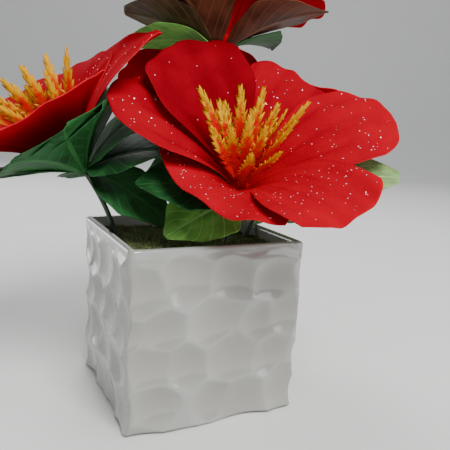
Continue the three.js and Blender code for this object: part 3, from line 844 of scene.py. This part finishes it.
petal_columns = np.sin(np.linspace(-math.pi / 2, math.pi / 2, PETAL_ACROSS + 1))
petal_lines = np.linspace(0, 1, PETAL_ALONG + 1)
cup_profile = [(0.3, CUP_FOOT), (0.6 * CUP_RADIUS, CUP_FOOT), (CUP_RADIUS, CUP_TOP - 1)]
cup_profile += [(CUP_RADIUS - 0.4, CUP_TOP - 0.3), (CUP_RADIUS - 1, CUP_TOP), (0.3, CUP_TOP)]
finishes = [velvet, velvet_back, cut_edge]
for bloom in PETALS:
    sheets = []
    for petal in petals_of(bloom):
        place = petal_surface(petal)
        points, quads, sides, u, v = cloth(place, petal_columns, petal_lines, PETAL_THICKNESS)
        # The creases are painted darker as painted shade, on top of the petal's own painted shade.
        creased = crease(u, v, petal["phase"]) * np.sin(math.pi * np.clip(1.15 * v, 0, 1))
        sheets.append((points, quads, sides, u, v, petal["painted_shade"] + CREASE_SHADE * creased))
    vertices, faces, slots, layers = gathered(sheets, lathe(cup_profile, 24), 1, 0)
    head = mesh_object("velvet_" + bloom, vertices, faces, finishes, slots, layers, standing(bloom))
    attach(head, "root")
    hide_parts("petals_" + bloom)

# The stamens are a crown of soft plastic lances with saw teeth down both edges. They stand
# round a short hub in the cup, moulded in yellow and sprayed orange and red at the root.
STAMEN_FOOT = CUP_TOP + CLEARANCE
STAMEN_HUB_RADIUS = 2.6
STAMEN_HUB_HEIGHT = 6
STAMEN_ROOT_UP = 3
STAMEN_ROOT_OUT = 1.3
STAMEN_WIDTH = 10.5
STAMEN_THICKNESS = 0.7
STAMEN_TEETH = 7
STAMEN_LINES = 7
TEETH_FROM = 0.26
TEETH_SHARE = 0.72
TOOTH_DEPTH = 0.7
TOOTH_UNEVENNESS = 0.2
MIDLINE_LIFT = 0.5
LANCE_SPIN = 0.75
CROWN_TURN = 47
STAMEN_YELLOW = (0.74, 0.38, 0.001, 1)
STAMEN_ORANGE = (0.68, 0.07, 0.0005, 1)
STAMEN_RED = (0.70, 0.003, 0.004, 1)
# Each lance: its turn round the hub, how far it leans out, and its length.
LANCES = [
    (126, 32, 52), (140, 18, 47), (84, 20, 48), (48, 20, 48),
    (66, 12, 39), (0, 20, 44), (350, 29, 52), (318, 24, 48),
    (235, 7, 46), (285, 13, 42), (190, 15, 40), (105, 27, 41),
    (25, 28, 42), (165, 26, 38), (250, 24, 33), (300, 30, 34),
]

stamen_finish, nodes, links, shader = finish_nodes(
    "stamen_plastic", Roughness=0.5, Specular_IOR_Level=0.15
)
tree = stamen_finish.node_tree
cloud = placed(nodes, mottle, Size=260, Grain=1500)
along_blade = layer_value(nodes, "along")
across_blade = figure(tree, "ABSOLUTE", layer_value(nodes, "across"))
outward = figure(tree, "MULTIPLY_ADD", across_blade, 0.25, along_blade)
streak = figure(tree, "MULTIPLY_ADD", cloud.outputs["Mask"], 0.16, outward)
warm = blended(tree, spread_over(tree, streak, 1.00, 0.80), STAMEN_YELLOW, STAMEN_ORANGE)
rooted = blended(tree, spread_over(tree, streak, 0.88, 0.70), warm, STAMEN_RED)
links.new(rooted, shader.inputs["Base Color"])
bump_from(nodes, links, cloud.outputs["Height"], 0.15, 0.0003, shader)


def lance(length, curl, twist, ragged):
    """A lance along +Z from the origin, its broad side to +X, with staggered teeth on both edges."""
    row_tall = TEETH_SHARE / STAMEN_TEETH
    lines = [0, 0.08, 0.16]
    for k in range(STAMEN_TEETH):
        for step in np.linspace(0, 0.97, STAMEN_LINES):
            lines.append(TEETH_FROM + row_tall * (k + step))
    lines.append(1)

    def place(u, v):
        rows = np.clip((v - TEETH_FROM) / row_tall, 0, STAMEN_TEETH) + 0.5 * (u > 0)
        part = rows - np.floor(rows)
        outer = np.clip(2 * np.abs(u) - 1, 0, 1) * smooth(4 * v)
        uneven = np.sin(5 * np.floor(rows) + ragged + 2 * np.sign(u))
        deep = TOOTH_DEPTH + TOOTH_UNEVENNESS * uneven
        belly = (0.4 + 0.6 * smooth(2.2 * v)) * (1 - v**2.4) ** 0.9 * STAMEN_WIDTH / 2
        across = belly * (1 - deep * (1 - part) * outer) * u
        bow = curl * v * v + MIDLINE_LIFT * (1 - np.abs(u)) * smooth((1 - v) / 0.1)
        turn = twist * v
        up = length * (v + 0.7 * row_tall * part * outer * smooth((1 - v) / 0.07))
        x = bow * np.cos(turn) - across * np.sin(turn)
        y = bow * np.sin(turn) + across * np.cos(turn)
        return np.stack([x, y, up], -1)

    return cloth(place, np.array([-1, -0.5, 0, 0.5, 1.0]), np.array(lines), STAMEN_THICKNESS)


hub_top = STAMEN_FOOT + STAMEN_HUB_HEIGHT
stamen_hub = [(0.3, STAMEN_FOOT), (STAMEN_HUB_RADIUS, STAMEN_FOOT), (STAMEN_HUB_RADIUS, hub_top - 1.2)]
stamen_hub += [(STAMEN_HUB_RADIUS - 0.8, hub_top - 0.2), (0.3, hub_top)]
for bloom in STANDS:
    sheets = []
    offset = 0 if bloom == "front" else CROWN_TURN * BLOOM_SEEDS[bloom]
    for k, (turn, lean, tall) in enumerate(LANCES):
        seed = BLOOM_SEEDS[bloom] * 100 + 40 + k * 3
        points, quads, sides, u, v = lance(tall, 2 * swing(seed + 3), 0.5 * swing(seed + 4), seed)
        # The broad sides are spun most of the way toward the crown's own Y axis.
        spin = LANCE_SPIN * ((180 - turn) % 180 - 90)
        stand = Matrix.Rotation(math.radians(turn + offset), 4, "Z")
        stand @= Matrix.Translation((STAMEN_ROOT_OUT, 0, STAMEN_FOOT + STAMEN_ROOT_UP))
        stand @= Matrix.Rotation(math.radians(lean), 4, "Y")
        stand = np.array(stand @ Matrix.Rotation(math.radians(spin), 4, "Z"))
        points = points @ stand[:3, :3].T + stand[:3, 3]
        sheets.append((points, quads, np.zeros(len(quads), int), u, v, np.zeros(len(u))))
    vertices, faces, slots, layers = gathered(sheets, lathe(stamen_hub, 18), 0, 0)
    crown = mesh_object(
        "lances_" + bloom, vertices, faces, [stamen_finish], slots, layers, standing(bloom)
    )
    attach(crown, "root")
    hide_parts("stamens_" + bloom)

# The glitter is flat silver-pink flakes, shaken over the glued velvet and thickest on the
# outer halves of the petals. Each is a six-sided plate about half a millimetre across.
FLAKES = 34
FLAKES_LEAST = 8
FLAKE_SIDES = 6
FLAKE_RADIUS = (0.16, 0.38)
FLAKE_FOOT = 0.3675
FLAKE_TOP = 0.45
FLAKE_TILT = 0.18
FLAKE_PALE = (0.95, 0.72, 0.74, 1)
FLAKE_ROSE = (0.90, 0.30, 0.34, 1)

flake_finish, nodes, links, shader = finish_nodes("glitter", Roughness=0.25, Metallic=0.3)
cloud = placed(nodes, mottle, Size=900, Grain=900)
silvery = blended(flake_finish.node_tree, cloud.outputs["Mask"], FLAKE_ROSE, FLAKE_PALE)
links.new(silvery, shader.inputs["Base Color"])

rng = np.random.default_rng(23)
vertices, faces = [], []
for bloom in PETALS:
    matrix = standing(bloom)
    for petal in petals_of(bloom):
        surface = petal_surface(petal)
        # On the front bloom fewer show on petals with more painted shade.
        share = 1.9 - 2 * petal["painted_shade"] if bloom == "front" else 1
        for _ in range(max(FLAKES_LEAST, int(FLAKES * share))):
            u = rng.uniform(-0.95, 0.95)
            v = rng.uniform(0.2, 1) ** 0.6 * 0.97
            middle = surface(np.array(u), np.array(v))
            crosswise = surface(np.array(u + 0.01), np.array(v))
            crosswise = crosswise - surface(np.array(u - 0.01), np.array(v))
            lengthwise = surface(np.array(u), np.array(v + 0.01))
            lengthwise = lengthwise - surface(np.array(u), np.array(v - 0.01))
            normal = np.cross(lengthwise, crosswise)
            normal = normal / np.linalg.norm(normal) + rng.normal(0, FLAKE_TILT, 3)
            normal /= np.linalg.norm(normal)
            side = np.cross(normal, [0.3, 0.2, 0.9])
            side /= np.linalg.norm(side)
            other = np.cross(normal, side)
            radius = rng.uniform(*FLAKE_RADIUS)
            start = len(vertices)
            for height in (FLAKE_FOOT, FLAKE_TOP):
                for k in range(FLAKE_SIDES):
                    turn = 2 * math.pi * k / FLAKE_SIDES
                    spot = middle + normal * height
                    spot = spot + radius * (math.cos(turn) * side + math.sin(turn) * other)
                    vertices.append(matrix[:3, :3] @ spot + matrix[:3, 3])
            above = start + FLAKE_SIDES
            faces.append([above + k for k in range(FLAKE_SIDES)])
            faces.append([above - 1 - k for k in range(FLAKE_SIDES)])
            for k in range(FLAKE_SIDES):
                n = (k + 1) % FLAKE_SIDES
                faces.append([start + k, start + n, above + n, above + k])
glitter = mesh_object("glitter", vertices, faces, [flake_finish])
glitter.data.polygons.foreach_set("use_smooth", np.zeros(len(glitter.data.polygons), bool))
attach(glitter, "root")

# The studio is a pale paper sweep that curves up behind the plant, lit by large soft boxes.
# The camera looks slightly down on the pot's front left corner. Sizes here are in metres.
SWEEP_COLOUR = (0.70, 0.70, 0.685, 1)
SWEEP_PALER = (0.72, 0.72, 0.705, 1)
SWEEP_FRONT = -3
SWEEP_BACK = 1.4
SWEEP_TOP = 4
SWEEP_RADIUS = 0.7
SWEEP_HALF = 3
SWEEP_STEPS = 16
CAMERA_HEADING = math.radians(26.15)

sweep_finish, nodes, links, shader = finish_nodes("paper_sweep", Roughness=0.8)
cloud = placed(nodes, mottle, Size=2, Grain=300)
paper = blended(sweep_finish.node_tree, cloud.outputs["Mask"], SWEEP_COLOUR, SWEEP_PALER)
links.new(paper, shader.inputs["Base Color"])
forward = Vector((math.sin(CAMERA_HEADING), math.cos(CAMERA_HEADING), 0))
level = Vector((math.cos(CAMERA_HEADING), -math.sin(CAMERA_HEADING), 0))
profile = [(SWEEP_FRONT, 0), (SWEEP_BACK, 0)]
for k in range(1, SWEEP_STEPS + 1):
    turn = math.pi / 2 * k / SWEEP_STEPS
    profile.append((SWEEP_BACK + SWEEP_RADIUS * math.sin(turn), SWEEP_RADIUS * (1 - math.cos(turn))))
profile.append((SWEEP_BACK + SWEEP_RADIUS, SWEEP_TOP))
vertices, faces = [], []
for k, (far, high) in enumerate(profile):
    for edge in (-SWEEP_HALF, SWEEP_HALF):
        vertices.append(tuple((forward * far + level * edge + Vector((0, 0, high))) / MM))
    if k:
        faces.append((2 * k - 2, 2 * k, 2 * k + 1, 2 * k - 1))
sweep_paper = mesh_object("paper_sweep", vertices, faces, [sweep_finish])

world = bpy.data.worlds.new("studio_air")
bpy.context.scene.world = world
world.use_nodes = True
background = world.node_tree.nodes["Background"]
background.inputs["Color"].default_value = (0.92, 0.95, 1.0, 1)
background.inputs["Strength"].default_value = 0.38

# Soft boxes by name: place, what they look at, size in metres and power in watts.
SOFT_BOXES = {
    "key": ((0.05, -0.90, 1.10), (0, 0, 0.12), 0.6, 24),
    "fill": ((0.95, -0.65, 0.55), (0, 0, 0.12), 0.9, 6),
    "rim": ((0.25, 0.95, 0.95), (0, 0, 0.15), 0.6, 8),
    "side": ((-0.62, 1.02, 0.34), (0, 0, 0.06), 0.7, 4.5),
}
for name, (place, target, size, power) in SOFT_BOXES.items():
    lamp = bpy.data.lights.new(name, "AREA")
    lamp.shape = "SQUARE"
    lamp.size = size
    lamp.energy = power
    holder = bpy.data.objects.new(name, lamp)
    bpy.context.scene.collection.objects.link(holder)
    holder.location = place
    holder.visible_camera = False
    holder.rotation_euler = (Vector(target) - Vector(place)).to_track_quat("-Z", "Y").to_euler()

CAMERA_PLACE = (-0.1104, -0.2696, 0.1445)
CAMERA_PITCH = math.radians(10.39)
CAMERA_ROLL = math.radians(3.04)
flat = math.cos(CAMERA_PITCH)
ahead = Vector(
    (math.sin(CAMERA_HEADING) * flat, math.cos(CAMERA_HEADING) * flat, -math.sin(CAMERA_PITCH))
)
above = level.cross(ahead)
right = level * math.cos(CAMERA_ROLL) + above * math.sin(CAMERA_ROLL)
upward = above * math.cos(CAMERA_ROLL) - level * math.sin(CAMERA_ROLL)
lens = bpy.data.cameras.new("camera")
lens.lens = 44.4
lens.sensor_width = 36
lens.clip_start = 0.01
camera = bpy.data.objects.new("camera", lens)
bpy.context.scene.collection.objects.link(camera)
camera.matrix_world = Matrix(
    [
        (right.x, upward.x, -ahead.x, CAMERA_PLACE[0]),
        (right.y, upward.y, -ahead.y, CAMERA_PLACE[1]),
        (right.z, upward.z, -ahead.z, CAMERA_PLACE[2]),
        (0, 0, 0, 1),
    ]
)
bpy.context.scene.camera = camera
